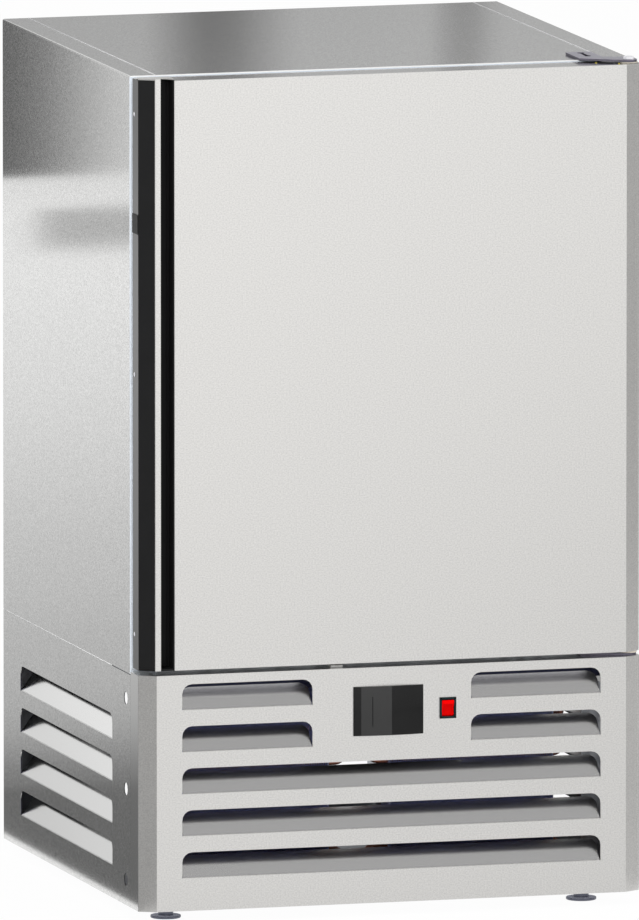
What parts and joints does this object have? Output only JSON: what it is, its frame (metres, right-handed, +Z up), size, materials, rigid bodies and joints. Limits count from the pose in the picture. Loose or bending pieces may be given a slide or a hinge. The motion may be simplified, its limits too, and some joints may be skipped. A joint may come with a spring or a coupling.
{
  "type": "blast chiller",
  "caption": "Upright stainless blast chiller: insulated cabinet with a full-height hinged door, tray racks and evaporator fan, over a louvred machine compartment on screw feet.",
  "frame": {"origin": "on the floor, at the centre of the overall footprint, with the feet screwed right in", "axes": "+Z up, -Y out of the front through the door, +X to the right of a person facing the door, where the hinges are"},
  "size_m": [0.75, 0.746, 1.2316],
  "materials": {
    "stainless": "satin",
    "galvanised": "satin",
    "bracket_steel": "satin",
    "bright_steel": "polished",
    "foot_steel": "satin",
    "black_plastic": "satin",
    "white_plastic": "satin",
    "pale_nylon": "satin",
    "red_plastic": "gloss",
    "teal_plastic": "satin",
    "grey_rubber": "matte",
    "foam": "matte",
    "dark_enamel": "satin",
    "fin_aluminium": "satin",
    "copper": "satin"
  },
  "bodies": {
    "cabinet": {"back_panel": "galvanised", "base_frame": "galvanised", "bottom_hinge_bracket": "bracket_steel", "bottom_hinge_pin": "bright_steel", "breaker_frame": "white_plastic", "compressor": "dark_enamel", "condenser_coil": "fin_aluminium", "condenser_motor_left": "dark_enamel", "condenser_motor_right": "dark_enamel", "condenser_shroud": "galvanised", "controller_body": "black_plastic", "controller_face": "black_plastic", "discharge_pipe": "copper", "door_switch": "white_plastic", "electrical_box": "galvanised", "evaporator_coil": "fin_aluminium", "evaporator_cover": "stainless", "evaporator_fan_guard": "black_plastic", "evaporator_motor": "dark_enamel", "filter_drier": "copper", "floor_pan": "galvanised", "foam_body": "foam", "inner_liner": "stainless", "liquid_pipe": "copper", "lower_front_panel": "stainless", "lower_side_left": "stainless", "lower_side_right": "stainless", "mains_gland": "black_plastic", "side_skin_left": "stainless", "side_skin_right": "stainless", "suction_pipe": "copper", "switch_bezel": "teal_plastic", "top_hinge_bracket": "bracket_steel", "top_hinge_pin": "bright_steel", "top_panel": "stainless", "tray_rack_left": "bright_steel", "tray_rack_right": "bright_steel"},
    "door": {"door_skin": "stainless", "door_liner": "stainless", "door_core": "foam", "door_gasket": "grey_rubber", "handle_grip": "black_plastic", "handle_cap_top": "stainless", "handle_cap_bottom": "black_plastic", "handle_trim": "stainless", "door_edge": "stainless", "lock_cover": "black_plastic", "door_screw_1": "bright_steel", "door_screw_2": "bright_steel", "door_screw_3": "bright_steel", "door_bush_top": "pale_nylon", "door_bush_bottom": "pale_nylon"},
    "rocker": {"power_rocker": "red_plastic"},
    "evaporator_fan": {"evaporator_fan": "black_plastic"},
    "condenser_fan_left": {"condenser_fan_left": "black_plastic"},
    "condenser_fan_right": {"condenser_fan_right": "black_plastic"},
    "foot_front_left": {"foot_front_left": "foot_steel"},
    "foot_front_right": {"foot_front_right": "foot_steel"},
    "foot_back_left": {"foot_back_left": "foot_steel"},
    "foot_back_right": {"foot_back_right": "foot_steel"}
  },
  "joints": [
    {"name": "door_hinge", "type": "hinge", "parent": "cabinet", "child": "door", "pos_m": [0.36, -0.345, 0.8], "axis": [0, 0, 1], "range_deg": [0, 110]},
    {"name": "power_rocker_tilt", "type": "hinge", "parent": "cabinet", "child": "rocker", "pos_m": [0.08365, -0.361, 0.29935], "axis": [-1, 0, 0], "range_deg": [0, 14]},
    {"name": "evaporator_fan_spin", "type": "hinge", "parent": "cabinet", "child": "evaporator_fan", "pos_m": [0, 0.158, 0.794], "axis": [0, 1, 0], "continuous": true},
    {"name": "condenser_fan_left_spin", "type": "hinge", "parent": "cabinet", "child": "condenser_fan_left", "pos_m": [-0.177, -0.2057, 0.172], "axis": [0, 1, 0], "continuous": true},
    {"name": "condenser_fan_right_spin", "type": "hinge", "parent": "cabinet", "child": "condenser_fan_right", "pos_m": [0.146, -0.2057, 0.172], "axis": [0, 1, 0], "continuous": true},
    {"name": "foot_front_left_height", "type": "slide", "parent": "cabinet", "child": "foot_front_left", "axis": [0, 0, -1], "range_m": [0, 0.03]},
    {"name": "foot_front_right_height", "type": "slide", "parent": "cabinet", "child": "foot_front_right", "axis": [0, 0, -1], "range_m": [0, 0.03]},
    {"name": "foot_back_left_height", "type": "slide", "parent": "cabinet", "child": "foot_back_left", "axis": [0, 0, -1], "range_m": [0, 0.03]},
    {"name": "foot_back_right_height", "type": "slide", "parent": "cabinet", "child": "foot_back_right", "axis": [0, 0, -1], "range_m": [0, 0.03]}
  ]
}
